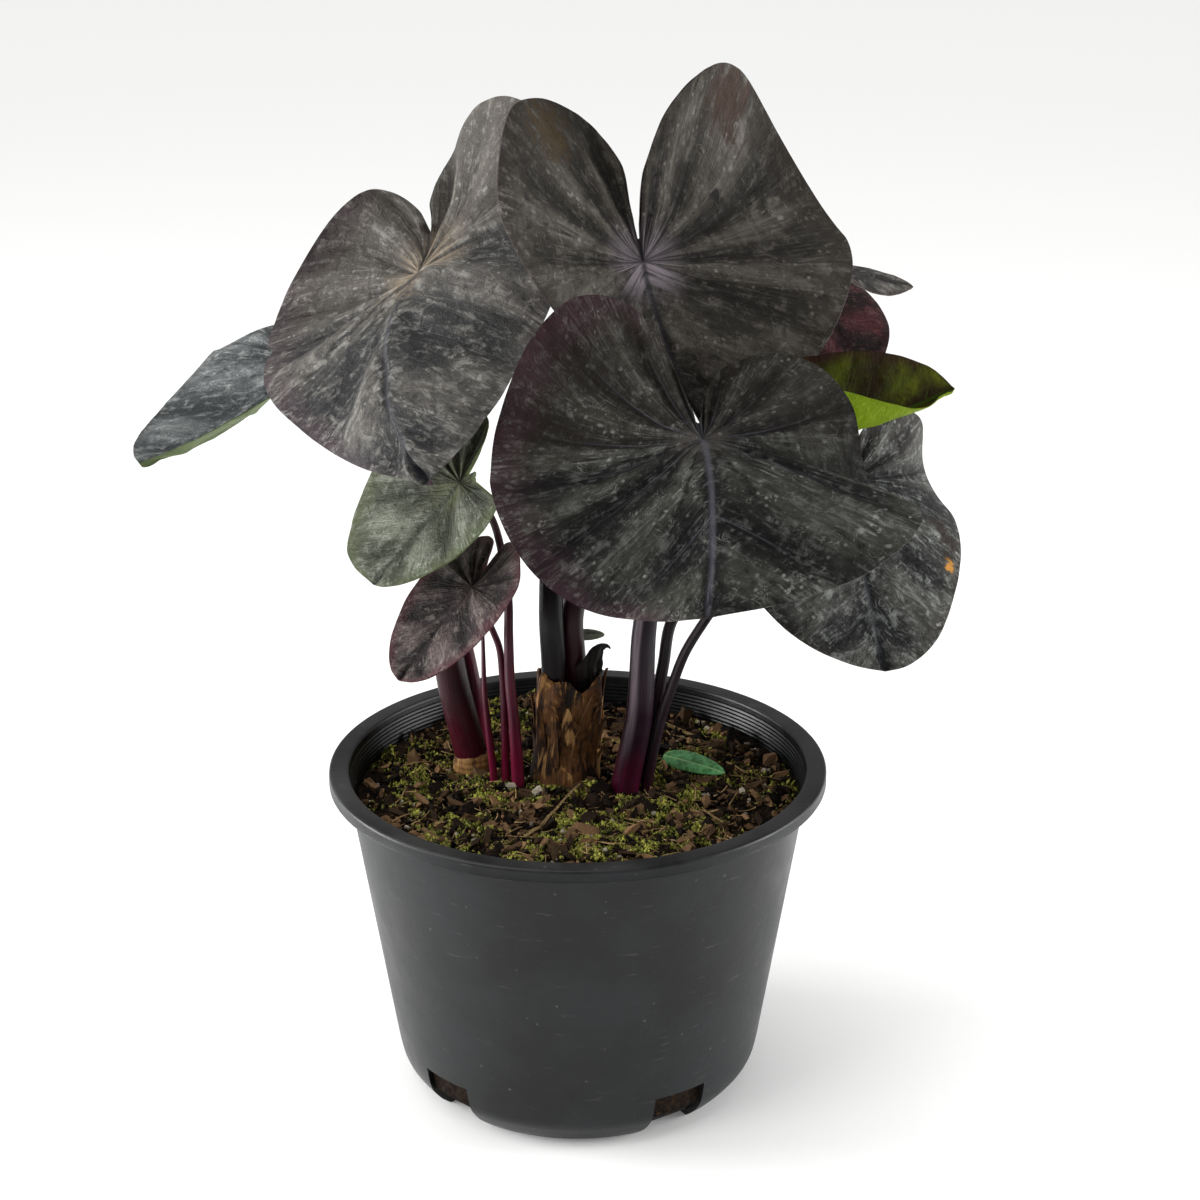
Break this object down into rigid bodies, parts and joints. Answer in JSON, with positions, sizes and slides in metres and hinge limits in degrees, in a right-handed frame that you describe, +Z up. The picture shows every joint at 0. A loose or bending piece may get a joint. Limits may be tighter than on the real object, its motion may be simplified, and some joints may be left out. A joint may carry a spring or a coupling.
{
  "type": "potted black coral elephant ear",
  "caption": "Black-leaved elephant ear house plant: dusky heart-shaped leaves on crimson stems rise from brown corms in a squat dark nursery pot of potting mix.",
  "frame": {"origin": "centre of the pot's underside, on the floor", "axes": "+Z up; -Y is the front that faces the viewer, with the big front leaf; +X to the viewer's right"},
  "size_m": [0.3527, 0.284, 0.4094],
  "materials": {
    "pot_plastic": "satin charcoal moulded plastic",
    "potting_mix": "damp bark and peat with bits of moss",
    "corm_husk": "dry papery husk",
    "stem_skin": "smooth crimson-black leaf stem with a dull wax bloom",
    "dark_leaf": "charcoal leaf with a dull sheen and pale dust",
    "young_leaf": "glossy young leaf, lime inside with a maroon margin",
    "green_leaf": "fallen green leaf",
    "dead_stem": "black withered leaf sheath"
  },
  "bodies": {
    "root": {"pot": "pot_plastic", "corm_centre": "corm_husk", "corm_left": "corm_husk", "soil": "potting_mix", "stem_upper_left": "stem_skin", "leaf_upper_left": "dark_leaf", "stem_far_left": "stem_skin", "leaf_far_left": "dark_leaf", "stem_top": "stem_skin", "leaf_top": "dark_leaf", "stem_front": "stem_skin", "leaf_front": "dark_leaf", "stem_right": "stem_skin", "leaf_right": "dark_leaf", "stem_back_right": "stem_skin", "leaf_back_right": "dark_leaf", "stem_slim_right": "stem_skin", "leaf_slim_right": "dark_leaf", "stem_unfurling": "stem_skin", "leaf_unfurling": "young_leaf", "stem_small_left": "stem_skin", "leaf_small_left": "dark_leaf", "stem_small_low": "stem_skin", "leaf_small_low": "dark_leaf", "dried_sheath": "dead_stem", "spear": "stem_skin", "sprout": "young_leaf", "fallen_leaf": "green_leaf"}
  },
  "joints": []
}
